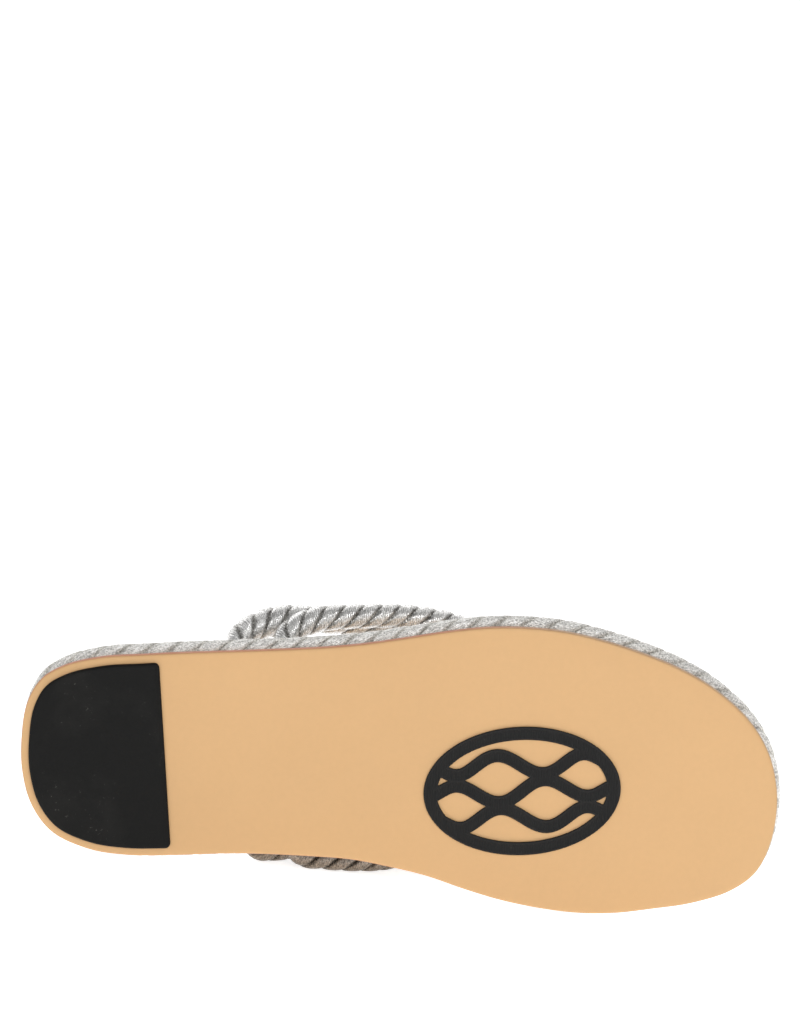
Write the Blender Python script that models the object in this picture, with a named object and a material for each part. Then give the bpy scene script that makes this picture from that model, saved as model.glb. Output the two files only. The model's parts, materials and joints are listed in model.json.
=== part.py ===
"""Rope sandal for a right foot, lying on its inner side.

The sandal is modelled standing, in metres: x runs from heel to toe, y from the
outer (lateral) side to the inner (medial) side, z up. The last step lays it on
its inner side, on the border rope and the straps, with its sole facing -Y.
"""

import math

import bmesh
import bpy
import numpy as np
from mathutils import Matrix, Vector

# Last and outline
LENGTH = 0.3011
WIDTH = 0.1131
TOE_SPRING = 0.0045
TOE_SPRING_START = 0.75
BEND_LINES = 7
OUTLINE_POINTS = 100
CURVE_STEP = 0.0020

# Leather outsole
OUTSOLE_THICKNESS = 0.0040
OUTSOLE_EDGE_ROUND = 0.0006

# Rope that runs round the sole
BORDER_DIAMETER = 0.0104
BORDER_OVERHANG = 0.0026
BORDER_LAY = 0.0300
BORDER_SHIFT = Vector((0.0004, -0.0004))

# Leather footbed inside the border rope
FOOTBED_TOP = 0.0150
FOOTBED_EDGE_ROUND = 0.0010

# Strap ropes
STRAP_DIAMETER = 0.0100
STRAP_LAY = 0.0232
STRAP_TAIL_DIAMETER = 0.0066
STRAP_RISE = 0.0500

# Heel patch
PATCH_INSET = 0.0033
PATCH_FRONT = 0.0580
PATCH_FRONT_SLANT = math.radians(7.8)
PATCH_PROUD = 0.0020
PATCH_EDGE_ROUND = 0.0005
PATCH_FRONT_BEVEL = 0.0017
PATCH_CORNER = 0.0020

# Forefoot grip moulding
GRIP_CENTRE_ALONG = 0.2000
GRIP_CENTRE_ACROSS = -0.0020
GRIP_LENGTH = 0.0780
GRIP_WIDTH = 0.0520
GRIP_STROKE = 0.0052
GRIP_PROUD = 0.0009
GRIP_TURN = math.radians(-9.0)
GRIP_WAVE_MEETING = 0.0024
GRIP_WAVES = 2.0
GRIP_BARS = (-0.46, 0.0, 0.46)

# Fits
SEAM_GAP = 0.0003
RECESS_DEPTH = 0.0008

# Mesh fineness
ROPE_STRANDS = 3
STRAND_FORM = ((-30, 0.90), (0, 1.00), (30, 0.90))
RINGS_PER_LAY = 6.2
OVAL_STEPS = 36
BAR_STEPS = 24
CORNER_STEPS = 4
PATCH_SIDE_POINTS = 20

# Densities in kg per cubic metre, to find how the sandal lies
LEATHER = 900
RUBBER = 1200
ROPE = 300

# Outline: along is a share of LENGTH, lateral and medial are shares of WIDTH from the long axis
OUTLINE = (
    (0.000, 0.034, -0.034),
    (0.004, 0.156, 0.088),
    (0.020, 0.246, 0.210),
    (0.050, 0.304, 0.300),
    (0.100, 0.348, 0.348),
    (0.150, 0.369, 0.356),
    (0.200, 0.389, 0.344),
    (0.300, 0.424, 0.310),
    (0.400, 0.463, 0.294),
    (0.450, 0.490, 0.292),
    (0.500, 0.523, 0.305),
    (0.550, 0.557, 0.325),
    (0.600, 0.584, 0.358),
    (0.650, 0.596, 0.385),
    (0.700, 0.595, 0.400),
    (0.750, 0.577, 0.404),
    (0.800, 0.547, 0.392),
    (0.850, 0.506, 0.364),
    (0.900, 0.443, 0.332),
    (0.950, 0.341, 0.277),
    (0.980, 0.233, 0.207),
    (0.995, 0.124, 0.112),
    (1.000, 0.018, -0.018),
)

# Strap ropes, rear tail to front tail. Tails: share of LENGTH and side (-1 lateral, 1 medial).
# Rows: along as a share of LENGTH, across as a share of the sole's half width there
# (negative on the lateral side), up as a share of STRAP_RISE above the footbed
STRAPS = {
    "lateral_front": {
        "start": (0.338, -1),
        "end": (0.730, 1),
        "rows": (
            (0.348, -1.092, 0.18),
            (0.377, -1.118, 0.26),
            (0.404, -1.110, 0.33),
            (0.430, -1.085, 0.39),
            (0.457, -1.057, 0.46),
            (0.484, -1.017, 0.54),
            (0.510, -0.968, 0.61),
            (0.537, -0.912, 0.69),
            (0.564, -0.840, 0.76),
            (0.594, -0.685, 0.85),
            (0.624, -0.433, 0.93),
            (0.654, -0.118, 1.00),
            (0.674, 0.290, 0.92),
            (0.697, 0.640, 0.69),
            (0.717, 0.790, 0.39),
        ),
    },
    "lateral_rear": {
        "start": (0.271, -1),
        "end": (0.670, 1),
        "rows": (
            (0.277, -1.085, 0.20),
            (0.294, -1.098, 0.30),
            (0.323, -1.092, 0.38),
            (0.353, -1.076, 0.44),
            (0.387, -1.045, 0.51),
            (0.423, -0.995, 0.58),
            (0.463, -0.925, 0.65),
            (0.503, -0.830, 0.73),
            (0.543, -0.690, 0.84),
            (0.577, -0.500, 0.94),
            (0.610, -0.150, 1.05),
            (0.635, 0.305, 0.98),
            (0.654, 0.660, 0.78),
            (0.665, 0.820, 0.45),
        ),
    },
    "medial_front": {
        "start": (0.365, 1),
        "end": (0.716, -1),
        "rows": (
            (0.379, 1.126, 0.08),
            (0.405, 1.154, 0.08),
            (0.432, 1.164, 0.10),
            (0.458, 1.158, 0.14),
            (0.485, 1.134, 0.23),
            (0.511, 1.070, 0.36),
            (0.552, 0.880, 0.62),
            (0.590, 0.600, 0.87),
            (0.617, 0.270, 1.13),
            (0.634, 0.030, 1.21),
            (0.653, -0.190, 1.15),
            (0.673, -0.410, 1.02),
            (0.695, -0.660, 0.76),
            (0.711, -0.800, 0.40),
        ),
    },
    "medial_rear": {
        "start": (0.307, 1),
        "end": (0.652, -1),
        "rows": (
            (0.320, 1.078, 0.11),
            (0.347, 1.108, 0.18),
            (0.377, 1.100, 0.26),
            (0.407, 1.100, 0.31),
            (0.437, 1.096, 0.35),
            (0.467, 1.060, 0.43),
            (0.497, 0.970, 0.54),
            (0.534, 0.760, 0.80),
            (0.568, 0.400, 1.07),
            (0.592, 0.030, 1.21),
            (0.612, -0.180, 1.21),
            (0.636, -0.410, 1.10),
            (0.650, -0.660, 0.86),
            (0.655, -0.800, 0.46),
        ),
    },
}

BORDER_RADIUS = BORDER_DIAMETER / 2
STRAP_RADIUS = STRAP_DIAMETER / 2
TAIL_RADIUS = STRAP_TAIL_DIAMETER / 2
BORDER_INSET = BORDER_RADIUS - BORDER_OVERHANG
BORDER_CENTRE_UP = OUTSOLE_THICKNESS + SEAM_GAP + BORDER_RADIUS
FOOTBED_BOTTOM = OUTSOLE_THICKNESS + SEAM_GAP
FOOTBED_INSET = BORDER_INSET + BORDER_RADIUS + SEAM_GAP
TAIL_INSET = FOOTBED_INSET + SEAM_GAP + TAIL_RADIUS
STRAP_OVER_BORDER = BORDER_CENTRE_UP + BORDER_RADIUS + SEAM_GAP + STRAP_RADIUS


def catmull_rom(points, closed, step):
    """Points about a step apart on a centripetal Catmull-Rom curve through the points."""
    points = [Vector(point) for point in points]
    if closed:
        ring = [points[-1], *points, points[0], points[1]]
    else:
        ring = [2 * points[0] - points[1], *points, 2 * points[-1] - points[-2]]
    curve = []
    for before, start, end, after in zip(ring, ring[1:], ring[2:], ring[3:]):
        knots = [0.0]
        for a, b in ((before, start), (start, end), (end, after)):
            knots.append(knots[-1] + math.sqrt((b - a).length))
        pieces = max(1, round((end - start).length / step))
        for i in range(pieces):
            t = knots[1] + (knots[2] - knots[1]) * i / pieces
            curve.append(curve_point((before, start, end, after), knots, t))
    if not closed:
        curve.append(points[-1])
    return curve


def curve_point(points, knots, t):
    """One point of a Catmull-Rom segment, by repeated linear mixing between its knots."""
    level = list(points)
    for span in (1, 2, 3):
        mixed = []
        for i in range(4 - span):
            low = max(knots[i], knots[1]) if span == 3 else knots[i]
            high = min(knots[i + span], knots[2]) if span == 3 else knots[i + span]
            share = (t - low) / (high - low)
            mixed.append(level[i].lerp(level[i + 1], share))
        level = mixed
    return level[0]


def resample(curve, closed, count):
    """The same curve as evenly spaced points."""
    loop = [*curve, curve[0]] if closed else list(curve)
    lengths = [0.0]
    for a, b in zip(loop, loop[1:]):
        lengths.append(lengths[-1] + (b - a).length)
    steps = count if closed else count - 1
    wanted = [lengths[-1] * i / steps for i in range(count)]
    columns = [np.interp(wanted, lengths, [point[k] for point in loop]) for k in range(len(loop[0]))]
    return [Vector(row) for row in zip(*columns)]


def curve_length(curve, closed):
    loop = [*curve, curve[0]] if closed else curve
    return sum((b - a).length for a, b in zip(loop, loop[1:]))


def sole_outline():
    """The outsole's edge seen from above, from the heel along the lateral side and back."""
    lateral = [(row[0] * LENGTH, -row[1] * WIDTH) for row in OUTLINE]
    medial = [(row[0] * LENGTH, row[2] * WIDTH) for row in OUTLINE[1:-1]]
    smooth = catmull_rom(lateral + medial[::-1], closed=True, step=CURVE_STEP)
    return resample(smooth, closed=True, count=OUTLINE_POINTS)


def offset_outline(outline, inset):
    """The outline moved inward by inset, square to itself."""
    moved = []
    for i, point in enumerate(outline):
        run = (outline[(i + 1) % len(outline)] - outline[i - 1]).normalized()
        moved.append(point + inset * Vector((-run.y, run.x)))
    return moved


def half_width(along, side):
    """Distance from the long axis to the outsole's edge on the lateral (-1) or medial (+1) side."""
    shares = [medial if side > 0 else lateral for _along, lateral, medial in OUTLINE]
    return WIDTH * float(np.interp(along, [row[0] for row in OUTLINE], shares))


def lift(x):
    """Toe spring: the sole's rise at x, straight between evenly spaced bend lines."""
    start = TOE_SPRING_START * LENGTH
    lines = np.linspace(start, LENGTH, BEND_LINES)
    rises = TOE_SPRING * ((lines - start) / (LENGTH - start)) ** 2
    return float(np.interp(x, lines, rises))


def bend_to_last(bm):
    """Cut the flat sole piece at the bend lines and raise it to the toe spring."""
    for x in np.linspace(TOE_SPRING_START * LENGTH, LENGTH, BEND_LINES)[:-1]:
        geometry = [*bm.verts, *bm.edges, *bm.faces]
        bmesh.ops.bisect_plane(bm, geom=geometry, dist=1e-6, plane_co=(x, 0, 0), plane_no=(1, 0, 0))
    for vertex in bm.verts:
        vertex.co.z += lift(vertex.co.x)


def loft(bm, rings, closed=False):
    """Bridge rings of as many points each into a closed solid, capped at both ends or closed in a loop."""
    vertices = [[bm.verts.new(point) for point in ring] for ring in rings]
    pairs = list(zip(vertices, vertices[1:]))
    if closed:
        pairs.append((vertices[-1], vertices[0]))
    for low, high in pairs:
        for i in range(len(low)):
            j = (i + 1) % len(low)
            bm.faces.new((low[i], low[j], high[j], high[i]))
    if not closed:
        bm.faces.new(vertices[0][::-1])
        bm.faces.new(vertices[-1])
    bmesh.ops.recalc_face_normals(bm, faces=bm.faces)


def shifted(outline):
    """The outline moved to where the rope border and the footbed sit on the outsole."""
    return [point + BORDER_SHIFT for point in outline]


def flat_ring(outline, z):
    return [(point.x, point.y, z) for point in outline]


def material(name, colour, roughness, metallic=0.0):
    made = bpy.data.materials.new(name)
    made.use_nodes = True
    shader = made.node_tree.nodes["Principled BSDF"]
    shader.inputs["Base Color"].default_value = (*colour, 1.0)
    shader.inputs["Roughness"].default_value = roughness
    shader.inputs["Metallic"].default_value = metallic
    made.diffuse_color = (*colour, 1.0)
    return made


def solid(name, bm, finish=None):
    """A scene object made of the mesh, smooth across its soft edges."""
    mesh = bpy.data.meshes.new(name)
    bm.to_mesh(mesh)
    bm.free()
    mesh.shade_smooth()
    mesh.set_sharp_from_angle(angle=math.radians(35))
    made = bpy.data.objects.new(name, mesh)
    bpy.context.collection.objects.link(made)
    if finish:
        mesh.materials.append(finish)
    return made


def boolean(target, others, operation):
    """Cut the other solids from the target, or join them to it, and remove them."""
    for other in others:
        modifier = target.modifiers.new(other.name, "BOOLEAN")
        modifier.operation = operation
        modifier.object = other
    bpy.context.view_layer.update()
    evaluated = target.evaluated_get(bpy.context.evaluated_depsgraph_get())
    result = bpy.data.meshes.new_from_object(evaluated)
    target.modifiers.clear()
    old = target.data
    target.data = result
    bpy.data.meshes.remove(old)
    for other in others:
        bpy.data.objects.remove(other)


def reshape(target, change):
    """Run a bmesh change over the object's mesh."""
    bm = bmesh.new()
    bm.from_mesh(target.data)
    change(bm)
    bm.to_mesh(target.data)
    bm.free()


def rope_section(radius, turn):
    """Three strands pressed together: one ring of points, turned along the rope."""
    points = []
    for i in range(ROPE_STRANDS):
        for off, share in STRAND_FORM:
            angle = turn + math.radians(off) + 2 * math.pi * i / ROPE_STRANDS
            points.append((share * radius * math.cos(angle), share * radius * math.sin(angle)))
    return points


def twisted_rope(bm, path, radii, lay, side, closed):
    """Sweep the three-strand section along the path, laid to the left.

    side is a direction that the section's first axis starts from, square to the path."""
    count = len(path)
    ends = [path[(i + 1) % count] - path[i - 1] for i in range(count)]
    if not closed:
        ends[0] = path[1] - path[0]
        ends[-1] = path[-1] - path[-2]
    length = curve_length(path, closed)
    if closed:
        turns = round(length / lay * ROPE_STRANDS) / ROPE_STRANDS
    else:
        turns = length / lay
    rings = []
    travelled = 0.0
    for i, point in enumerate(path):
        run = ends[i].normalized()
        side = (side - run * side.dot(run)).normalized()
        across = run.cross(side)
        turn = -2 * math.pi * turns * travelled / length
        section = rope_section(radii[i], turn)
        rings.append([point + side * a + across * b for a, b in section])
        if i + 1 < count:
            travelled += (path[i + 1] - point).length
    if closed:
        first = rings[0]
        shift = round(turns * ROPE_STRANDS) * len(STRAND_FORM) % len(first)
        rings.append(first[-shift:] + first[:-shift] if shift else list(first))
    loft(bm, rings)
    if closed:
        seam = [face for face in bm.faces if len(face.verts) > 4]
        bmesh.ops.delete(bm, geom=seam, context="FACES_ONLY")
        bmesh.ops.remove_doubles(bm, verts=bm.verts, dist=1e-6)
        bmesh.ops.recalc_face_normals(bm, faces=bm.faces)


def make_outsole(outline, recess_cutters):
    bm = bmesh.new()
    rounded = offset_outline(outline, OUTSOLE_EDGE_ROUND)
    loft(
        bm,
        [
            flat_ring(rounded, 0.0),
            flat_ring(outline, OUTSOLE_EDGE_ROUND),
            flat_ring(outline, OUTSOLE_THICKNESS),
        ],
    )
    outsole = solid("outsole", bm, material("tan_leather", (0.80, 0.50, 0.235), 0.42))
    boolean(outsole, recess_cutters, "DIFFERENCE")
    reshape(outsole, bend_to_last)
    return outsole


def patch_outline(outline, inset, front):
    """The heel patch seen from above: the sole's heel, cut by the slanted front edge, corners rounded."""
    edge = offset_outline(outline, inset)
    slant = math.tan(PATCH_FRONT_SLANT)
    halves = []
    for side in (-1, 1):
        y = side * (half_width(PATCH_FRONT / LENGTH, side) - inset)
        corner = Vector((front + slant * y, y))
        start = corner - Vector((PATCH_CORNER, 0.0))
        end = corner - Vector((slant, 1.0)).normalized() * side * PATCH_CORNER
        arc = []
        for i in range(CORNER_STEPS + 1):
            share = i / CORNER_STEPS
            arc.append(start.lerp(corner, share).lerp(corner.lerp(end, share), share))
        flank = edge if side < 0 else [edge[0], *edge[:0:-1]]
        near = [p for p in flank[: len(flank) // 2] if p.x < start.x]
        halves.append(resample([*near, start], closed=False, count=PATCH_SIDE_POINTS)[:-1] + arc)
    return halves[0] + halves[1][:0:-1]


def make_heel_patch(outline):
    tread = patch_outline(outline, PATCH_INSET + PATCH_EDGE_ROUND, PATCH_FRONT - PATCH_FRONT_BEVEL)
    body = patch_outline(outline, PATCH_INSET, PATCH_FRONT)
    bm = bmesh.new()
    loft(
        bm,
        [
            flat_ring(tread, -PATCH_PROUD),
            flat_ring(body, -PATCH_PROUD + 2 * PATCH_EDGE_ROUND),
            flat_ring(body, RECESS_DEPTH - SEAM_GAP),
        ],
    )
    return solid("heel_patch", bm, material("black_rubber", (0.018, 0.018, 0.018), 0.55))


def patch_recess(outline):
    ring = patch_outline(outline, PATCH_INSET - SEAM_GAP, PATCH_FRONT + SEAM_GAP)
    bm = bmesh.new()
    loft(bm, [flat_ring(ring, -PATCH_PROUD), flat_ring(ring, RECESS_DEPTH)])
    return solid("patch_recess", bm)


def grip_frame():
    """From the grip moulding's own plan to the sole's."""
    place = Matrix.Translation((GRIP_CENTRE_ALONG, GRIP_CENTRE_ACROSS, 0.0))
    return place @ Matrix.Rotation(GRIP_TURN, 4, "Z")


def stroke(name, centre_line, width, low, high, closed):
    """A flat bar of constant width along a line in the grip's plan."""
    count = len(centre_line)
    frame = grip_frame()
    sections = []
    for i, point in enumerate(centre_line):
        before = centre_line[i - 1] if closed or i > 0 else point
        after = centre_line[(i + 1) % count] if closed or i + 1 < count else point
        run = (after - before).normalized()
        side = Vector((-run.y, run.x)) * width / 2
        left, right = point + side, point - side
        corners = ((left, low), (left, high), (right, high), (right, low))
        sections.append([frame @ Vector((p.x, p.y, z)) for p, z in corners])
    bm = bmesh.new()
    loft(bm, sections, closed=closed)
    return solid(name, bm)


def grip_shape(name, spread, low, high):
    """An oval ring crossed by three wavy bars, each stroke widened by spread on both sides."""
    half_long = (GRIP_LENGTH - GRIP_STROKE) / 2
    half_short = (GRIP_WIDTH - GRIP_STROKE) / 2
    width = GRIP_STROKE + 2 * spread
    oval = []
    for i in range(OVAL_STEPS):
        angle = 2 * math.pi * i / OVAL_STEPS
        oval.append(Vector((half_long * math.cos(angle), half_short * math.sin(angle))))
    shape = stroke(name, oval, width, low, high, closed=True)
    wave_height = (half_short * (GRIP_BARS[1] - GRIP_BARS[0]) - GRIP_WAVE_MEETING) / 2
    bars = []
    for row, level in enumerate(GRIP_BARS):
        reach = half_long * math.sqrt(1 - level**2)
        line = []
        for i in range(BAR_STEPS + 1):
            x = reach * (2 * i / BAR_STEPS - 1)
            wave = wave_height * math.sin(math.pi * GRIP_WAVES * x / half_long + math.pi * row)
            fade = 1 - abs(x / reach) ** 6
            line.append(Vector((x, level * half_short + wave * fade)))
        bars.append(stroke(f"{name}_bar_{row}", line, width, low, high, closed=False))
    boolean(shape, bars, "UNION")
    return shape


def make_grip_insert():
    insert = grip_shape("grip_insert", 0.0, -GRIP_PROUD, RECESS_DEPTH - SEAM_GAP)
    insert.data.materials.clear()
    insert.data.materials.append(material("grip_rubber", (0.024, 0.024, 0.024), 0.5))
    reshape(insert, bend_to_last)
    return insert


def make_footbed(outline):
    inner = offset_outline(shifted(outline), FOOTBED_INSET)
    softened = offset_outline(shifted(outline), FOOTBED_INSET + FOOTBED_EDGE_ROUND)
    bm = bmesh.new()
    loft(
        bm,
        [
            flat_ring(inner, FOOTBED_BOTTOM),
            flat_ring(inner, FOOTBED_TOP - FOOTBED_EDGE_ROUND),
            flat_ring(softened, FOOTBED_TOP),
        ],
    )
    footbed = solid("footbed", bm, material("insole_leather", (0.62, 0.47, 0.31), 0.6))
    slots = []
    for name, strap in STRAPS.items():
        for end in ("start", "end"):
            slots.append(tail_slot(f"{name}_{end}_slot", *strap[end]))
    boolean(footbed, slots, "DIFFERENCE")
    reshape(footbed, bend_to_last)
    return footbed


def edge_place(along, side):
    """The shifted outline's edge there, and the direction square to it, out of the sole."""
    near = 0.01
    rise = side * (half_width(along + near, side) - half_width(along - near, side))
    run = Vector((2 * near * LENGTH, rise)).normalized()
    outward = Vector((-run.y, run.x)) * side
    edge = Vector((along * LENGTH, side * half_width(along, side)))
    return edge + BORDER_SHIFT, outward


def tail_slot(name, along, side):
    """A notch in the footbed's edge that holds one strap tail, round at its inner end."""
    edge, outward = edge_place(along, side)
    centre = edge - outward * TAIL_INSET
    half = TAIL_RADIUS + SEAM_GAP
    run = Vector((outward.y, -outward.x))
    ring = []
    for i in range(9):
        angle = math.pi * i / 8
        ring.append(centre + run * half * math.cos(angle) - outward * half * math.sin(angle))
    ring.append(centre - run * half + outward * TAIL_INSET)
    ring.append(centre + run * half + outward * TAIL_INSET)
    bm = bmesh.new()
    loft(bm, [flat_ring(ring, 0.0), flat_ring(ring, 2 * FOOTBED_TOP)])
    return solid(name, bm)


def make_rope_border(outline):
    path = offset_outline(shifted(outline), BORDER_INSET)
    length = curve_length(path, closed=True)
    count = round(length / BORDER_LAY * RINGS_PER_LAY)
    path = [Vector((p.x, p.y, BORDER_CENTRE_UP + lift(p.x))) for p in resample(path, True, count)]
    bm = bmesh.new()
    radii = [BORDER_RADIUS] * count
    twisted_rope(bm, path, radii, BORDER_LAY, Vector((0, 0, 1)), closed=True)
    return solid("rope_border", bm, material("border_rope", (0.55, 0.54, 0.52), 0.38, 0.9))


def strap_tail(along, side, leans_out):
    """Centre points and radii where a strap leaves the footbed, from its buried end upward."""
    edge, outward = edge_place(along, side)
    neck = FOOTBED_TOP + SEAM_GAP
    rows = [
        (TAIL_INSET, FOOTBED_BOTTOM + SEAM_GAP, TAIL_RADIUS),
        (TAIL_INSET, neck, TAIL_RADIUS),
    ]
    if leans_out:
        rows.append((BORDER_INSET + 1.35 * STRAP_RADIUS, neck + 0.75 * STRAP_RADIUS, 0.86 * STRAP_RADIUS))
        rows.append((BORDER_INSET + 0.10 * STRAP_RADIUS, STRAP_OVER_BORDER + 0.1 * STRAP_RADIUS, STRAP_RADIUS))
    else:
        rows.append((TAIL_INSET - 0.2 * STRAP_RADIUS, neck + STRAP_RADIUS, 0.9 * STRAP_RADIUS))
    tail = []
    for inset, up, radius in rows:
        place = edge - outward * inset
        tail.append(Vector((place.x, place.y, up, radius)))
    return tail


def strap_path(strap):
    """The strap rope's centre points with their radii, from its rear tail to its front tail."""
    points = strap_tail(*strap["start"], leans_out=True)
    for along, across, up in strap["rows"]:
        y = across * half_width(along, across)
        points.append(Vector((along * LENGTH, y, FOOTBED_TOP + up * STRAP_RISE, STRAP_RADIUS)))
    points += strap_tail(*strap["end"], leans_out=False)[::-1]
    smooth = catmull_rom(points, closed=False, step=CURVE_STEP)
    length = curve_length([point.to_3d() for point in smooth], closed=False)
    count = round(length / STRAP_LAY * RINGS_PER_LAY) + 1
    return resample(smooth, closed=False, count=count)


def make_upper():
    finish = material("strap_rope", (0.58, 0.57, 0.55), 0.34, 0.95)
    ropes = []
    for name, strap in STRAPS.items():
        points = strap_path(strap)
        path = [point.to_3d() for point in points]
        radii = [point.w for point in points]
        bm = bmesh.new()
        twisted_rope(bm, path, radii, STRAP_LAY, Vector((1, 0, 0)), closed=False)
        ropes.append(solid(name, bm, finish))
    upper = ropes[0]
    boolean(upper, ropes[1:], "UNION")
    upper.name = "upper"
    return upper


def triangles(made):
    """The object's triangles as an array of corner points."""
    bm = bmesh.new()
    bm.from_mesh(made.data)
    bmesh.ops.triangulate(bm, faces=bm.faces)
    corners = np.array([[vertex.co[:] for vertex in face.verts] for face in bm.faces])
    bm.free()
    return corners


def balance_point(pieces):
    """Centre of mass of (object, density) pairs."""
    mass = 0.0
    moment = np.zeros(3)
    for made, density in pieces:
        a, b, c = np.moveaxis(triangles(made), 1, 0)
        volumes = np.einsum("ij,ij->i", a, np.cross(b, c)) / 6
        mass += density * volumes.sum()
        moment += density * (volumes[:, None] * (a + b + c) / 4).sum(axis=0)
    return Vector(moment / mass)


def resting_face(pieces, centre):
    """Outward normal of the hull face under the centre of mass that looks most to the medial side."""
    bm = bmesh.new()
    for made, _density in pieces:
        for vertex in made.data.vertices:
            bm.verts.new(vertex.co)
    bmesh.ops.convex_hull(bm, input=bm.verts)
    bmesh.ops.triangulate(bm, faces=bm.faces)
    best = None
    for face in bm.faces:
        a, b, c = (vertex.co for vertex in face.verts)
        normal = (b - a).cross(c - a).normalized()
        if normal.dot(a - centre) < 0:
            normal.negate()
            b, c = c, b
        foot = centre + normal * normal.dot(a - centre)
        edges = ((a, b), (b, c), (c, a))
        holds = all((q - p).cross(foot - p).dot(normal) > 0 for p, q in edges)
        if holds and (best is None or normal.y > best.y):
            best = normal.copy()
    bm.free()
    return best


def lay_on_side(pieces):
    """Parent the pieces to an empty that rests the sandal on its medial side, toe along +X."""
    centre = balance_point(pieces)
    down = resting_face(pieces, centre)
    on_side = Matrix(((1, 0, 0), (0, 0, 1), (0, -1, 0)))
    settle = (on_side @ down).rotation_difference(Vector((0, 0, -1))).to_matrix()
    turned = settle @ on_side
    toe = turned @ Vector((1, 0, 0))
    turned = Matrix.Rotation(-math.atan2(toe.y, toe.x), 3, "Z") @ turned
    corners = [turned @ vertex.co for made, _density in pieces for vertex in made.data.vertices]
    low = [min(corner[k] for corner in corners) for k in range(3)]
    high = [max(corner[k] for corner in corners) for k in range(3)]
    holder = bpy.data.objects.new("lying_on_side", None)
    bpy.context.collection.objects.link(holder)
    holder.rotation_euler = turned.to_euler()
    holder.location = (-(low[0] + high[0]) / 2, -(low[1] + high[1]) / 2, -low[2])
    for made, _density in pieces:
        made.parent = holder


def main():
    for old in list(bpy.data.objects):
        bpy.data.objects.remove(old)
    outline = sole_outline()
    grip_recess = grip_shape("grip_recess", SEAM_GAP, -2 * GRIP_PROUD, RECESS_DEPTH)
    pieces = [
        (make_outsole(outline, [patch_recess(outline), grip_recess]), LEATHER),
        (make_heel_patch(outline), RUBBER),
        (make_grip_insert(), RUBBER),
        (make_rope_border(outline), ROPE),
        (make_footbed(outline), LEATHER),
        (make_upper(), ROPE),
    ]
    lay_on_side(pieces)


main()
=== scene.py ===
"""Looks of the rope sandal: finely laid ropes, finishes, soft studio light and the photo's camera."""

import json
import math

import bmesh
import bpy
import numpy as np
from mathutils import Matrix, Vector


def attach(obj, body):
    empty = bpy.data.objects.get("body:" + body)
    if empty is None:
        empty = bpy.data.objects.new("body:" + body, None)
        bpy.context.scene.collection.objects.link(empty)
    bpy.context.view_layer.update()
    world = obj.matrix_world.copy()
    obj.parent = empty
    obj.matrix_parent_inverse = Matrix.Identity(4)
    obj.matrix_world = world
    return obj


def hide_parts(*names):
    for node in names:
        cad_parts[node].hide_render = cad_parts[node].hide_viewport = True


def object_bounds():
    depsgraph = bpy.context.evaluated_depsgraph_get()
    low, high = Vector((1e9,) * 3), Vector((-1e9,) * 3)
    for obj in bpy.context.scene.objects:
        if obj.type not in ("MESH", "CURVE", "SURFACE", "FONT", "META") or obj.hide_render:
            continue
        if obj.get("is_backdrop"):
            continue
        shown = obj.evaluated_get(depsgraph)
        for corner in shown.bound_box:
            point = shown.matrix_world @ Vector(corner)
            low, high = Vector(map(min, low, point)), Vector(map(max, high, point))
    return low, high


# Sizes of the sandal standing, in metres: x heel to toe, y lateral to medial, z up
LENGTH = 0.3011
WIDTH = 0.1131
TOE_SPRING = 0.0045
CURVE_STEP = 0.0005
OUTSOLE_THICKNESS = 0.0040
SEAM_GAP = 0.0003
BORDER_DIAMETER = 0.0104
BORDER_OVERHANG = 0.0026
BORDER_LAY = 0.0300
BORDER_SHIFT = Vector((0.0004, -0.0004))
BORDER_ENDS_IN = 0.0014
FOOTBED_TOP = 0.0150
STRAP_DIAMETER = 0.0100
STRAP_LAY = 0.0232
STRAP_TAIL_DIAMETER = 0.0066
STRAP_RISE = 0.0500
PATCH_INSET = 0.0033
PATCH_FRONT = 0.0580
PATCH_CORNER = 0.0024
GRIP_CENTRE = Vector((0.2000, -0.0020, 0.0))
GRIP_LENGTH = 0.0780
GRIP_WIDTH = 0.0520
GRIP_STROKE = 0.0052
GRIP_PROUD = 0.0009
GRIP_WAVE_MEETING = 0.0024

# Shares of LENGTH: where the toe spring starts, and how far to each side the edge's direction is read
TOE_SPRING_START = 0.75
EDGE_PROBE = 0.01

# Slants of the heel patch's front edge and of the grip
PATCH_FRONT_SLANT = math.radians(7.8)
GRIP_TURN = math.radians(-9.0)

# The grip's bars: waves along the oval, places as shares of its half width, how late the waves die out
GRIP_WAVES = 2.0
GRIP_BARS = (-0.46, 0.0, 0.46)
GRIP_BAR_FADE = 6

# Relief of the grip's strokes, in metres: a smooth rim along their edges and cross ribs inside it
GRIP_RIM = 0.0007
GRIP_RIB_PITCH = 0.00100
GRIP_RIB_DEPTH = 0.00045
GRIP_EDGE_ROUND = 0.0002

# Form of that relief: the ribs' slant, how low their crests lie (1 is level with the rim), the edge's slope
GRIP_RIB_SLANT = 0.12
GRIP_RIB_LEVEL = 1.3
GRIP_EDGE_SLOPE = 0.5

# Stitches round the footbed, in metres
STITCH_INSET = 0.0040
STITCH_PITCH = 0.0042
STITCH_LENGTH = 0.0030
STITCH_RADIUS = 0.0004

# How far a stitch's middle stands up and how far its ends dip from there, in its radii
STITCH_RISE = 0.75
STITCH_DIP = 1.4

# Places of the record's two mounts on the standing sandal
HEEL_TREAD = Vector((0.030, 0.0, -0.002))
SOLE_TREAD = Vector((0.110, 0.0, 0.0))

# Counts: strands of a rope, and points or steps that set how fine each shape is
STRANDS = 3
RINGS_PER_LAY = 30
STRAND_POINTS = 20
OUTLINE_POINTS = 480
CAP_COLUMNS = 12
PATCH_SIDE_POINTS = 120
CORNER_STEPS = 10
GRIP_OVAL_POINTS = 121
GRIP_BAR_POINTS = 61
STITCH_SIDES = 6
STITCH_STEPS = 5
SWEEP_STEPS = 12

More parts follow.
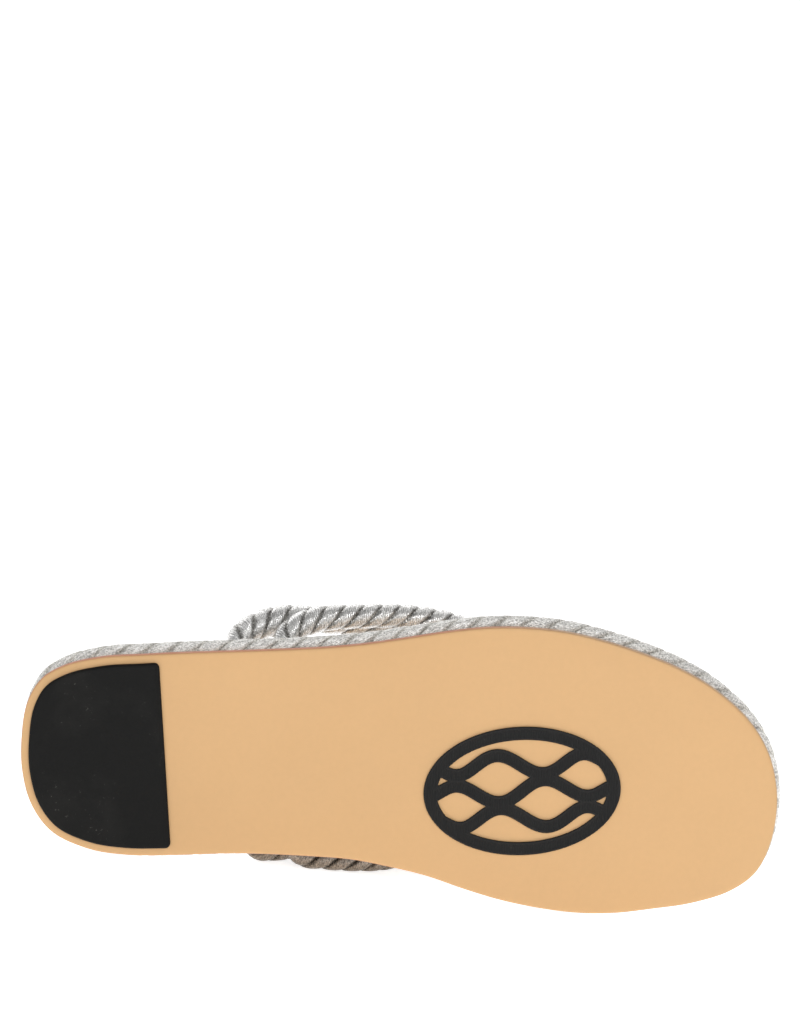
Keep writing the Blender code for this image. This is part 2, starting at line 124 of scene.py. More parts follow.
# The grip's grid: a cell's side in metres, spare cells, and the share of a cell that a point is moved
# at most to meet a stroke's edge
GRIP_CELL = 0.00025
GRIP_SPARE_CELLS = 4
GRIP_SNAP = 0.55
TINY = 1e-9

# Strand sections as shares of the rope's radius: place of the middle, half height, half width
STRAP_SECTION = (0.500, 0.500, 0.690)
BORDER_SECTION = (0.460, 0.540, 0.780)

# Necks of the straps' tails as shares of the strap's radius: further in, further up, radius
NECK_LEANING = (1.35, 0.75, 0.86)
NECK_OVER_BORDER = (0.10, 0.10, 1.00)
NECK_UPRIGHT = (-0.20, 1.00, 0.90)

# Outsole section from its tread up: inset from its edge, height
OUTSOLE_SECTION = (
    (0.0016, 0.0000),
    (0.0007, 0.0001),
    (0.0002, 0.0003),
    (0.0000, 0.0008),
    (0.0000, 0.0032),
    (0.0003, 0.0037),
    (0.0012, 0.0040),
)

# Heel patch section from its tread up: inset of the sides, of the front edge, height
PATCH_SECTION = (
    (0.0016, 0.0034, -0.0020),
    (0.0008, 0.0022, -0.0020),
    (0.0004, 0.0016, -0.0018),
    (0.0001, 0.0006, -0.0013),
    (0.0000, 0.0000, -0.0009),
    (0.0000, 0.0000, 0.0010),
)

# Camera of the photo: pixels, the pixel that sees the sole's middle, distance, sensor in mm, angles
IMAGE_WIDTH = 800
IMAGE_HEIGHT = 1020
FOCAL_PIXELS = 3276.3
MIDDLE_PIXEL = (399, 764)
CAMERA_DISTANCE = 1.300
SENSOR_WIDTH = 36.0
LOOK_TILT = math.radians(14)
LOOK_SWING = math.radians(3)
SOLE_TURN = math.radians(5)
SOLE_MIDDLE = Vector((0.1506, -0.008, 0.0))

# Studio: the paper sweep in metres, then how bright and rough the paper is and how bright the world
SWEEP_NEAR = -6.0
SWEEP_BEND = 0.9
SWEEP_FAR = 1.9
SWEEP_TOP = 4.0
SWEEP_HALF_WIDTH = 5.0
PAPER_TONE = (0.85, 0.85, 0.85, 1.0)
PAPER_ROUGHNESS = 0.9
PAPER_GLOW = 0.78
WORLD_GLOW = 0.25
WHITE = (1.0, 1.0, 1.0, 1.0)

# Area lights: name, place and size in metres, power in watts, all aimed at LIGHT_TARGET
LIGHT_TARGET = (0.0, 0.0, 0.06)
LIGHTS = (
    ("key", (0.55, -1.35, 0.95), (0.35, 0.35), 7.5),
    ("front", (-0.4, -2.1, 1.1), (2.2, 1.4), 9.0),
    ("back", (-0.7, 1.5, 1.3), (1.2, 1.2), 2.0),
)

# Noise of the finishes, in features per metre
YARN_STRAY = 500.0
YARN_SPECKLE = 1300.0
LEATHER_CLOUDS = 14.0
LEATHER_WEAR = 60.0
LEATHER_FIBRE = 420.0
LEATHER_PORES = 1100.0
RUBBER_SCUFFS = 34.0
RUBBER_DUST = 620.0
RUBBER_GRAIN = 1500.0
THREAD_FIBRE = 2600.0

# Depths of the finishes' bumps, in metres
YARN_DEPTH = 0.00019
PORE_DEPTH = 0.0001
RUBBER_DEPTH = 0.00012
THREAD_DEPTH = 0.0001

# Heights over which the ropes' painted shade near the floor, darker and browner, fades, in metres
FLOOR_SHADE_FULL = 0.004
FLOOR_SHADE_GONE = 0.026

# Stretch along the lying sandal over which the sole's cut edge turns less red, in metres
RED_EDGE_FULL = 0.01
RED_EDGE_GONE = 0.06

# Outline: along is a share of LENGTH, lateral and medial are shares of WIDTH from the long axis
OUTLINE = (
    (0.000, 0.034, -0.034),
    (0.004, 0.156, 0.088),
    (0.020, 0.246, 0.210),
    (0.050, 0.304, 0.300),
    (0.100, 0.348, 0.348),
    (0.150, 0.369, 0.356),
    (0.200, 0.389, 0.344),
    (0.300, 0.424, 0.310),
    (0.400, 0.463, 0.294),
    (0.450, 0.490, 0.292),
    (0.500, 0.523, 0.305),
    (0.550, 0.557, 0.325),
    (0.600, 0.584, 0.358),
    (0.650, 0.596, 0.385),
    (0.700, 0.595, 0.400),
    (0.750, 0.577, 0.404),
    (0.800, 0.547, 0.392),
    (0.850, 0.506, 0.364),
    (0.900, 0.443, 0.332),
    (0.950, 0.341, 0.277),
    (0.980, 0.233, 0.207),
    (0.995, 0.124, 0.112),
    (1.000, 0.018, -0.018),
)

# Strap ropes, rear tail to front tail. Tails: share of LENGTH and side (-1 lateral, 1 medial).
# Rows: along as a share of LENGTH, across as a share of the sole's half width there
# (negative on the lateral side), up as a share of STRAP_RISE above the footbed.
# Swell: where the strands lie looser and how far that spreads, as shares of LENGTH, and how much
# thicker the rope is there
STRAPS = {
    "lateral_front": {
        "start": (0.328, -1),
        "end": (0.730, 1),
        "swell": (0.370, 0.040, 0.08),
        "rows": (
            (0.340, -1.050, 0.17),
            (0.371, -1.118, 0.25),
            (0.404, -1.110, 0.33),
            (0.430, -1.085, 0.39),
            (0.457, -1.057, 0.46),
            (0.484, -1.017, 0.54),
            (0.510, -0.968, 0.61),
            (0.537, -0.912, 0.69),
            (0.564, -0.840, 0.76),
            (0.594, -0.685, 0.85),
            (0.624, -0.433, 0.93),
            (0.654, -0.118, 1.00),
            (0.674, 0.290, 0.92),
            (0.697, 0.640, 0.69),
            (0.717, 0.790, 0.39),
        ),
    },
    "lateral_rear": {
        "start": (0.266, -1),
        "end": (0.670, 1),
        "swell": (0.320, 0.040, 0.30),
        "rows": (
            (0.276, -1.046, 0.20),
            (0.294, -1.086, 0.30),
            (0.323, -1.103, 0.38),
            (0.353, -1.090, 0.44),
            (0.387, -1.045, 0.51),
            (0.423, -0.995, 0.58),
            (0.463, -0.925, 0.65),
            (0.503, -0.830, 0.73),
            (0.543, -0.690, 0.84),
            (0.577, -0.500, 0.94),
            (0.610, -0.150, 1.05),
            (0.635, 0.305, 0.98),
            (0.654, 0.660, 0.78),
            (0.665, 0.820, 0.45),
        ),
    },
    "medial_front": {
        "start": (0.365, 1),
        "end": (0.716, -1),
        "swell": (0.430, 0.040, 0.0),
        "rows": (
            (0.379, 1.126, 0.08),
            (0.405, 1.154, 0.08),
            (0.432, 1.164, 0.10),
            (0.458, 1.158, 0.14),
            (0.485, 1.134, 0.23),
            (0.511, 1.070, 0.36),
            (0.552, 0.880, 0.62),
            (0.590, 0.600, 0.87),
            (0.617, 0.270, 1.13),
            (0.634, 0.030, 1.21),
            (0.653, -0.190, 1.15),
            (0.673, -0.410, 1.02),
            (0.695, -0.660, 0.76),
            (0.711, -0.800, 0.40),
        ),
    },
    "medial_rear": {
        "start": (0.307, 1),
        "end": (0.652, -1),
        "swell": (0.430, 0.040, 0.0),
        "rows": (
            (0.320, 1.078, 0.11),
            (0.347, 1.108, 0.18),
            (0.377, 1.100, 0.26),
            (0.407, 1.100, 0.31),
            (0.437, 1.096, 0.35),
            (0.467, 1.060, 0.43),
            (0.497, 0.970, 0.54),
            (0.534, 0.760, 0.80),
            (0.568, 0.400, 1.07),
            (0.592, 0.030, 1.21),
            (0.612, -0.180, 1.21),
            (0.636, -0.410, 1.10),
            (0.650, -0.660, 0.86),
            (0.655, -0.800, 0.46),
        ),
    },
}

BORDER_RADIUS = BORDER_DIAMETER / 2
STRAP_RADIUS = STRAP_DIAMETER / 2
TAIL_RADIUS = STRAP_TAIL_DIAMETER / 2
BORDER_INSET = BORDER_RADIUS - BORDER_OVERHANG
BORDER_CENTRE_UP = OUTSOLE_THICKNESS + SEAM_GAP + BORDER_RADIUS
FOOTBED_BOTTOM = OUTSOLE_THICKNESS + SEAM_GAP
FOOTBED_INSET = BORDER_INSET + BORDER_RADIUS + SEAM_GAP
TAIL_INSET = FOOTBED_INSET + SEAM_GAP + TAIL_RADIUS
STRAP_OVER_BORDER = BORDER_CENTRE_UP + BORDER_RADIUS + SEAM_GAP + STRAP_RADIUS


def catmull_rom(points, closed, step):
    """Points about a step apart on a centripetal Catmull-Rom curve through the points."""
    points = [Vector(point) for point in points]
    if closed:
        ring = [points[-1], *points, points[0], points[1]]
    else:
        ring = [2 * points[0] - points[1], *points, 2 * points[-1] - points[-2]]
    curve = []
    for before, start, end, after in zip(ring, ring[1:], ring[2:], ring[3:]):
        knots = [0.0]
        for a, b in ((before, start), (start, end), (end, after)):
            knots.append(knots[-1] + math.sqrt((b - a).length))
        pieces = max(1, round((end - start).length / step))
        for i in range(pieces):
            t = knots[1] + (knots[2] - knots[1]) * i / pieces
            curve.append(curve_point((before, start, end, after), knots, t))
    if not closed:
        curve.append(points[-1])
    return curve


def curve_point(points, knots, t):
    """One point of a Catmull-Rom segment, by repeated linear mixing between its knots."""
    level = list(points)
    for span in (1, 2, 3):
        mixed = []
        for i in range(4 - span):
            low = max(knots[i], knots[1]) if span == 3 else knots[i]
            high = min(knots[i + span], knots[2]) if span == 3 else knots[i + span]
            share = (t - low) / (high - low)
            mixed.append(level[i].lerp(level[i + 1], share))
        level = mixed
    return level[0]


def resample(curve, closed, count):
    """The same curve as evenly spaced points."""
    loop = [*curve, curve[0]] if closed else list(curve)
    lengths = [0.0]
    for a, b in zip(loop, loop[1:]):
        lengths.append(lengths[-1] + (b - a).length)
    steps = count if closed else count - 1
    wanted = [lengths[-1] * i / steps for i in range(count)]
    columns = [np.interp(wanted, lengths, [point[k] for point in loop]) for k in range(len(loop[0]))]
    return [Vector(row) for row in zip(*columns)]


def curve_length(curve, closed):
    """The length of the straight steps between the curve's points."""
    loop = [*curve, curve[0]] if closed else curve
    return sum((b - a).length for a, b in zip(loop, loop[1:]))


def sole_outline():
    """The outsole's edge seen from above, from the heel along the lateral side and back."""
    lateral = [(row[0] * LENGTH, -row[1] * WIDTH) for row in OUTLINE]
    medial = [(row[0] * LENGTH, row[2] * WIDTH) for row in OUTLINE[1:-1]]
    smooth = catmull_rom(lateral + medial[::-1], closed=True, step=CURVE_STEP)
    return resample(smooth, closed=True, count=OUTLINE_POINTS)


def offset_outline(outline, inset):
    """The outline moved inward by inset, square to itself."""
    moved = []
    for i, point in enumerate(outline):
        run = (outline[(i + 1) % len(outline)] - outline[i - 1]).normalized()
        moved.append(point + inset * Vector((-run.y, run.x)))
    return moved


def shifted_outline(inset):
    """The outline moved to where the rope border and the footbed sit on the outsole, and inward."""
    return offset_outline([point + BORDER_SHIFT for point in sole_outline()], inset)


def half_width(along, side):
    """Distance from the long axis to the outsole's edge on the lateral (-1) or medial (+1) side."""
    shares = [medial if side > 0 else lateral for _along, lateral, medial in OUTLINE]
    return WIDTH * float(np.interp(along, [row[0] for row in OUTLINE], shares))


def lift(x):
    """Toe spring: the sole's rise at x."""
    start = TOE_SPRING_START * LENGTH
    return TOE_SPRING * (max(0.0, x - start) / (LENGTH - start)) ** 2


def edge_place(along, side):
    """The shifted outline's edge there, and the direction square to it, out of the sole."""
    rise = side * (half_width(along + EDGE_PROBE, side) - half_width(along - EDGE_PROBE, side))
    run = Vector((2 * EDGE_PROBE * LENGTH, rise)).normalized()
    outward = Vector((-run.y, run.x)) * side
    edge = Vector((along * LENGTH, side * half_width(along, side)))
    return edge + BORDER_SHIFT, outward


def strap_tail(along, side, leans_out):
    """Centre points and radii where a strap leaves the footbed, from its buried end upward."""
    edge, outward = edge_place(along, side)
    neck = FOOTBED_TOP + SEAM_GAP
    rows = [
        (TAIL_INSET, FOOTBED_BOTTOM + SEAM_GAP, TAIL_RADIUS),
        (TAIL_INSET, neck, TAIL_RADIUS),
    ]
    if leans_out:
        necks = [
            (BORDER_INSET, neck, NECK_LEANING),
            (BORDER_INSET, STRAP_OVER_BORDER, NECK_OVER_BORDER),
        ]
    else:
        necks = [(TAIL_INSET, neck, NECK_UPRIGHT)]
    for inset, up, (further_in, further_up, share) in necks:
        inset += further_in * STRAP_RADIUS
        up += further_up * STRAP_RADIUS
        rows.append((inset, up, share * STRAP_RADIUS))
    tail = []
    for inset, up, radius in rows:
        place = edge - outward * inset
        tail.append(Vector((place.x, place.y, up, radius)))
    return tail


def strap_path(strap):
    """The strap rope's centre points with their radii, from its rear tail to its front tail."""
    points = strap_tail(*strap["start"], leans_out=True)
    middle, spread, share = strap["swell"]
    for along, across, up in strap["rows"]:
        y = across * half_width(along, across)
        radius = STRAP_RADIUS * (1 + share * math.exp(-(((along - middle) / spread) ** 2)))
        points.append(Vector((along * LENGTH, y, FOOTBED_TOP + up * STRAP_RISE, radius)))
    points += strap_tail(*strap["end"], leans_out=False)[::-1]
    smooth = catmull_rom(points, closed=False, step=CURVE_STEP)
    length = curve_length([point.to_3d() for point in smooth], closed=False)
    count = round(length / STRAP_LAY * RINGS_PER_LAY) + 1
    return resample(smooth, closed=False, count=count)


def border_path():
    """The border rope's centre points, once round the sole, drawn in a little at the heel and the toe."""
    path = shifted_outline(BORDER_INSET)
    count = round(curve_length(path, closed=True) / BORDER_LAY * RINGS_PER_LAY)
    points = []
    for place in resample(path, True, count):
        x = place.x + BORDER_ENDS_IN * (1 - 2 * place.x / LENGTH)
        points.append(Vector((x, place.y, BORDER_CENTRE_UP + lift(x))))
    return points


def empty_rope(section):
    """Lists that lay_strands fills. Places say how far along and round its strand a face's corner lies."""
    return {"section": section, "points": [], "faces": [], "places": []}


def lay_strands(rope, path, radii, lay, side, closed):
    """Sweep three strands along the path, laid to the left, and add them to the rope's lists.

    lay is the rope's length for one turn, and side a direction across the path that the first strand
    starts from."""
    count = len(path)
    ends = [path[(i + 1) % count] - path[i - 1] for i in range(count)]
    if not closed:
        ends[0] = path[1] - path[0]
        ends[-1] = path[-1] - path[-2]
    arm, half_height, half_width_share = rope["section"]
    length = curve_length(path, closed)
    turns = length / lay
    if closed:
        turns = round(turns * STRANDS) / STRANDS
    frames = []
    travelled = 0.0
    for i, point in enumerate(path):
        run = ends[i].normalized()
        side = (side - run * side.dot(run)).normalized()
        frames.append((point, side, run.cross(side), radii[i], travelled))
        if i + 1 < count:
            travelled += (path[i + 1] - point).length
    if closed:
        point, side, across, radius, _start = frames[0]
        frames.append((point, side, across, radius, length))
    for strand in range(STRANDS):
        first = len(rope["points"])
        for point, side, across, radius, travelled in frames:
            turn = 2 * math.pi * (strand / STRANDS - turns * travelled / length)
            outward = side * math.cos(turn) + across * math.sin(turn)
            around = across * math.cos(turn) - side * math.sin(turn)
            for k in range(STRAND_POINTS):
                angle = 2 * math.pi * k / STRAND_POINTS
                out = arm + half_height * math.cos(angle)
                aside = half_width_share * math.sin(angle)
                rope["points"].append(point + (outward * out + around * aside) * radius)
        for i in range(len(frames) - 1):
            low = first + i * STRAND_POINTS
            high = low + STRAND_POINTS
            start, end = frames[i][4], frames[i + 1][4]
            for k in range(STRAND_POINTS):
                nxt = (k + 1) % STRAND_POINTS
                rope["faces"].append((low + k, low + nxt, high + nxt, high + k))
                near, far = k / STRAND_POINTS, (k + 1) / STRAND_POINTS
                rope["places"] += [(start, near), (start, far), (end, far), (end, near)]


def add_piece(stand, name, shape, finish, node=None):
    """A smooth piece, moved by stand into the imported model's frame, which may stand for a CAD node."""
    points, faces = shape
    mesh = bpy.data.meshes.new(name)
    mesh.from_pydata([stand @ Vector(point) for point in points], [], faces)
    mesh.shade_smooth()
    mesh.materials.append(finish)
    piece = bpy.data.objects.new(name, mesh)
    bpy.context.scene.collection.objects.link(piece)
    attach(piece, "root")
    if node:
        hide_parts(node)
    return piece


def add_rope(stand, name, rope, finish, node):
    """The laid strands as a piece that stands for a CAD node, with each thread's place as its UV."""
    piece = add_piece(stand, name, (rope["points"], rope["faces"]), finish, node)
    places = piece.data.uv_layers.new(name="thread")
    places.data.foreach_set("uv", np.array(rope["places"], dtype=np.float32).ravel())


def lofted_shape(rings, fronted):
    """Points and faces of a solid from level rings, lowest first.

    The rings start at the heel's middle and go round by the lateral side. With fronted, each ring has a
    straight front of CAP_COLUMNS spans between its two halves."""
    count = len(rings[0])
    half = (count - CAP_COLUMNS) // 2 + 1 if fronted else count // 2 + 1
    points = [point for ring in rings for point in ring]
    faces = []
    for low in range(0, (len(rings) - 1) * count, count):
        for k in range(count):
            nxt = (k + 1) % count
            faces.append((low + k, low + nxt, low + count + nxt, low + count + k))
    for first in (0, (len(rings) - 1) * count):
        strips = []
        for i in range(half):
            start, end = first + i, first + (-i) % count
            if start == end:
                inner = [start] * (CAP_COLUMNS - 1)
            elif fronted and i == half - 1:
                inner = list(range(start + 1, end))
            else:
                inner = list(range(len(points), len(points) + CAP_COLUMNS - 1))
                points += [points[start].lerp(points[end], k / CAP_COLUMNS) for k in range(1, CAP_COLUMNS)]
            strips.append([start, *inner, end])
        for near, far in zip(strips, strips[1:]):
            for k in range(CAP_COLUMNS):
                loop = [near[k], near[k + 1], far[k + 1], far[k]]
                loop = [corner for j, corner in enumerate(loop) if corner != loop[j - 1]]
                faces.append(loop[::-1] if first else loop)
    return points, faces


def outsole_shape():
    """The leather outsole with its edges rounded over."""
    rings = []
    for inset, up in OUTSOLE_SECTION:
        ring = offset_outline(sole_outline(), inset)
        rings.append([Vector((p.x, p.y, up + lift(p.x))) for p in ring])
    return lofted_shape(rings, fronted=False)


def patch_ring(inset, front_inset, up):
    """The heel patch at one height: the sole's heel cut by the slanted front edge, corners rounded."""
    edge = offset_outline(sole_outline(), PATCH_INSET + inset)
    slant = math.tan(PATCH_FRONT_SLANT)
    halves = []
    for side in (-1, 1):
        flank = edge if side < 0 else [edge[0], *edge[:0:-1]]
        past = [p.x - slant * p.y - (PATCH_FRONT - front_inset) for p in flank]
        last = next(i for i, gap in enumerate(past) if gap > 0)
        corner = flank[last - 1].lerp(flank[last], past[last - 1] / (past[last - 1] - past[last]))
        near = [p for p in flank[:last] if (p - corner).length > PATCH_CORNER]
        start = corner + (near[-1] - corner).normalized() * PATCH_CORNER
        end = corner - Vector((slant, 1.0)).normalized() * side * PATCH_CORNER
        arc = []
        for i in range(CORNER_STEPS + 1):
            share = i / CORNER_STEPS
            arc.append(start.lerp(corner, share).lerp(corner.lerp(end, share), share))
        halves.append(resample([*near, start], closed=False, count=PATCH_SIDE_POINTS)[:-1] + arc)
    lateral, medial = halves
    front = [lateral[-1].lerp(medial[-1], k / CAP_COLUMNS) for k in range(1, CAP_COLUMNS)]
    return [Vector((p.x, p.y, up)) for p in lateral + front + medial[:0:-1]]


def heel_patch_shape():
    """The rubber heel patch with softened sides and its bevelled front edge."""
    return lofted_shape([patch_ring(*row) for row in PATCH_SECTION], fronted=True)


def grip_lines():
    """The middle lines of the grip's strokes in its own plan: an oval and three wavy bars."""
    half_long = (GRIP_LENGTH - GRIP_STROKE) / 2
    half_short = (GRIP_WIDTH - GRIP_STROKE) / 2
    angle = np.linspace(0, 2 * math.pi, GRIP_OVAL_POINTS)
    lines = [np.stack([half_long * np.cos(angle), half_short * np.sin(angle)], axis=1)]
    wave_height = (half_short * (GRIP_BARS[1] - GRIP_BARS[0]) - GRIP_WAVE_MEETING) / 2
    for row, level in enumerate(GRIP_BARS):
        reach = half_long * math.sqrt(1 - level**2)
        x = np.linspace(-reach, reach, GRIP_BAR_POINTS)
        wave = wave_height * np.sin(math.pi * GRIP_WAVES * x / half_long + math.pi * row)
        fade = 1 - np.abs(x / reach) ** GRIP_BAR_FADE
        lines.append(np.stack([x, level * half_short + wave * fade], axis=1))
    return lines


def nearest_on_lines(points, lines):
    """Each point's distance to the lines, and its direction away from them."""
    best = np.full(len(points), np.inf)
    away = np.zeros((len(points), 2))
    for line in lines:
        for a, b in zip(line, line[1:]):
            run = b - a
            share = np.clip((points - a) @ run / (run @ run), 0, 1)
            gap = points - a - share[:, None] * run
            length = np.linalg.norm(gap, axis=1)
            closer = length < best
            best[closer] = length[closer]
            away[closer] = gap[closer] / np.maximum(length[closer], TINY)[:, None]
    return best, away


def grip_shape():
    """The grip moulding with a rim along its strokes and fine ribs across them.

    It is a grid of small cells over the strokes, with walls down into the sole along its edges."""
    columns = round(GRIP_LENGTH / GRIP_CELL) + GRIP_SPARE_CELLS
    rows = round(GRIP_WIDTH / GRIP_CELL) + GRIP_SPARE_CELLS
    x = (np.arange(columns) - (columns - 1) / 2) * GRIP_CELL
    y = (np.arange(rows) - (rows - 1) / 2) * GRIP_CELL
    points = np.stack(np.meshgrid(x, y, indexing="ij"), axis=-1).reshape(-1, 2)
    gap, away = nearest_on_lines(points, grip_lines())
    half = GRIP_STROKE / 2
    near_edge = np.abs(gap - half) < GRIP_SNAP * GRIP_CELL
    points[near_edge] += away[near_edge] * (half - gap[near_edge])[:, None]
    gap[near_edge] = half
    inward = half - gap
    ribs = (points[:, 0] + GRIP_RIB_SLANT * points[:, 1]) / GRIP_RIB_PITCH
    ribbed = np.clip((inward - GRIP_RIM) / GRIP_CELL, 0, 1)
    depth = (GRIP_RIB_LEVEL - np.cos(2 * math.pi * ribs)) / (GRIP_RIB_LEVEL + 1)
    height = GRIP_PROUD - ribbed * GRIP_RIB_DEPTH * depth
    height -= GRIP_EDGE_SLOPE * np.clip(GRIP_EDGE_ROUND - inward, 0, None)
    inside = (inward > -TINY).reshape(columns, rows)
    whole = inside[:-1, :-1] & inside[1:, :-1] & inside[1:, 1:] & inside[:-1, 1:]
    turn = Matrix.Rotation(GRIP_TURN, 4, "Z")
    corners = {}
    shape = []
    faces = []

    def corner(i, j):
        if (i, j) not in corners:
            k = i * rows + j
            place = GRIP_CENTRE + turn @ Vector((*points[k], 0.0))
            corners[i, j] = len(shape)
            shape.append(Vector((place.x, place.y, lift(place.x) - height[k])))
        return corners[i, j]

    for i, j in np.argwhere(whole):
        faces.append([corner(*step) for step in ((i, j), (i, j + 1), (i + 1, j + 1), (i + 1, j))])
    sides = {}
    for face in faces:
        for a, b in zip(face, face[1:] + face[:1]):
            sides[a, b] = True
    roots = {}
    for a, b in list(sides):
        if (b, a) not in sides:
            for k in (a, b):
                if k not in roots:
                    roots[k] = len(shape)
                    shape.append(shape[k] + Vector((0, 0, GRIP_PROUD + SEAM_GAP)))
            faces.append([b, a, roots[a], roots[b]])
    return shape, faces


def stitch_shape():
    """A row of thread stitches round the footbed's top."""
    line = shifted_outline(FOOTBED_INSET + STITCH_INSET)
    count = round(curve_length(line, closed=True) / STITCH_PITCH)
    places = resample(line, True, count)
    points = []
    faces = []
    for i, place in enumerate(places):
        run = (places[(i + 1) % count] - places[i - 1]).normalized()
        side = Vector((-run.y, run.x))
        first = len(points)
        for k in range(STITCH_STEPS):
            share = 2 * k / (STITCH_STEPS - 1) - 1
            middle = place + run * share * STITCH_LENGTH / 2
            up = FOOTBED_TOP + lift(middle.x) + STITCH_RADIUS * (STITCH_RISE - STITCH_DIP * share**4)
            for j in range(STITCH_SIDES):
                angle = 2 * math.pi * j / STITCH_SIDES
                out = middle + side * STITCH_RADIUS * math.cos(angle)
                points.append((out.x, out.y, up + STITCH_RADIUS * math.sin(angle)))
        for k in range(STITCH_STEPS - 1):
            ring = first + k * STITCH_SIDES
            for j in range(STITCH_SIDES):
                a, b = ring + j, ring + (j + 1) % STITCH_SIDES
                faces.append((a, b, b + STITCH_SIDES, a + STITCH_SIDES))
        last = first + (STITCH_STEPS - 1) * STITCH_SIDES
        faces.append([first + j for j in range(STITCH_SIDES)][::-1])
        faces.append([last + j for j in range(STITCH_SIDES)])
    return points, faces


class Finish:
    """A Principled material that is built node by node."""

    def __init__(self, name, roughness, metallic=0.0):
        self.material = bpy.data.materials.new(name)
        self.material.use_nodes = True
        self.tree = self.material.node_tree
        self.shader = self.tree.nodes["Principled BSDF"]
        self.shader.inputs["Roughness"].default_value = roughness
        self.shader.inputs["Metallic"].default_value = metallic

    def node(self, kind, links=None, **values):
        made = self.tree.nodes.new(kind)
        for name, value in values.items():
            setattr(made, name, value)
        for socket, value in (links or {}).items():
            self.feed(made.inputs[socket], value)
        return made

    def feed(self, socket, value):
        if isinstance(value, bpy.types.NodeSocket):
            self.tree.links.new(value, socket)
        else:
            socket.default_value = value

    def noise(self, where, scale, detail=3.0, roughness=0.5):
        links = {"Vector": where, "Scale": scale, "Detail": detail, "Roughness": roughness}
        return self.node("ShaderNodeTexNoise", links).outputs["Fac"]

    def math(self, operation, *values):
        made = self.node("ShaderNodeMath", operation=operation)
        for socket, value in zip(made.inputs, values):
            self.feed(socket, value)
        return made.outputs[0]

    def map(self, value, low, high, to_low, to_high):
        links = {"Value": value, "From Min": low, "From Max": high, "To Min": to_low, "To Max": to_high}
        return self.node("ShaderNodeMapRange", links, clamp=True).outputs["Result"]

    def mix(self, share, first, second, blend_type="MIX"):
        made = self.node("ShaderNodeMix", data_type="RGBA", blend_type=blend_type)
        self.feed(made.inputs[0], share)
        self.feed(made.inputs[6], first)
        self.feed(made.inputs[7], second)
        return made.outputs[2]

    def bump(self, height, strength, distance):
        links = {"Height": height, "Strength": strength, "Distance": distance}
        return self.node("ShaderNodeBump", links).outputs["Normal"]

    def set(self, **sockets):
        for name, value in sockets.items():
            self.feed(self.shader.inputs[name.replace("_", " ")], value)
        return self.material


def rope_finish(name, base, shade, floor_shade_colour, thread_pitch, twist, streaks, roughness, metallic):
    """Metallic yarn: threads along each strand's twist, with painted highlight on their crowns and painted
    shade in the lay.

    The last colour paints shade near the floor, darker and browner; twist is how far a thread runs along the
    rope while it goes once round its strand, and streaks are their counts per metre of rope and per turn
    round a strand."""
    made = Finish(name, roughness, metallic)
    where = made.node("ShaderNodeUVMap", uv_map="thread").outputs["UV"]
    parts = made.node("ShaderNodeSeparateXYZ", {"Vector": where})
    along, around = parts.outputs["X"], parts.outputs["Y"]
    wound = made.math("MULTIPLY", around, round(-twist / thread_pitch))
    wound = made.math("MULTIPLY_ADD", along, 1 / thread_pitch, wound)
    course = made.math("MULTIPLY_ADD", along, streaks[0], made.math("MULTIPLY", around, streaks[1]))
    streak_place = made.node("ShaderNodeCombineXYZ", {"X": wound, "Y": course}).outputs["Vector"]
    streak = made.noise(streak_place, 1.0, 1.0)
    position = made.node("ShaderNodeTexCoord").outputs["Object"]
    stray = made.noise(position, YARN_STRAY, 2.0)
    phase = made.math("MULTIPLY_ADD", stray, 6.0, made.math("MULTIPLY", wound, 2 * math.pi))
    crown = made.math("MULTIPLY_ADD", made.math("SINE", phase), 0.5, 0.5)
    speckle = made.noise(position, YARN_SPECKLE, 2.0, 0.7)
    height = made.math("MULTIPLY_ADD", speckle, 0.9, crown)
    height = made.math("MULTIPLY_ADD", streak, 0.8, height)
    # Painted shade in the lay: the side of each strand that faces the rope's middle takes the shade colour,
    # broken up by the speckle.
    depth = made.math("ABSOLUTE", made.math("SUBTRACT", around, 0.5))
    lay_shade = made.map(made.math("MULTIPLY_ADD", streak, 0.06, depth), 0.28, 0.40, 1.0, 0.0)
    lay_shade = made.math("MULTIPLY", lay_shade, made.map(speckle, 0.35, 0.62, 1.0, 0.45))
    # Yarn lightness: streaks and speckle vary its tone at random and brighten where they raise the threads,
    # as painted glints; the threads are lighter on their crowns and darker between them, as painted
    # highlight and shade.
    lightness = made.map(streak, 0.30, 0.70, 0.72, 1.14)
    lightness = made.math("MULTIPLY", lightness, made.map(speckle, 0.34, 0.66, 0.58, 1.30))
    lightness = made.math("MULTIPLY", lightness, made.map(crown, 0.0, 1.0, 0.86, 1.08))
    # Painted shade near the floor: the yarn turns darker and browner below the given heights.
    up = made.node("ShaderNodeSeparateXYZ", {"Vector": position}).outputs["Z"]
    low = made.map(up, FLOOR_SHADE_FULL, FLOOR_SHADE_GONE, 1.0, 0.0)
    shaded_near_floor = made.mix(low, WHITE, floor_shade_colour)
    colour = made.mix(1.0, made.mix(lay_shade, base, shade), shaded_near_floor, "MULTIPLY")
    scaled = made.node("ShaderNodeVectorMath", {0: colour, "Scale": lightness}, operation="SCALE")
    rough = made.map(speckle, 0.3, 0.7, roughness + 0.10, roughness - 0.08)
    return made.set(
        Base_Color=scaled.outputs["Vector"],
        Roughness=rough,
        Normal=made.bump(height, 0.75, YARN_DEPTH),
    )


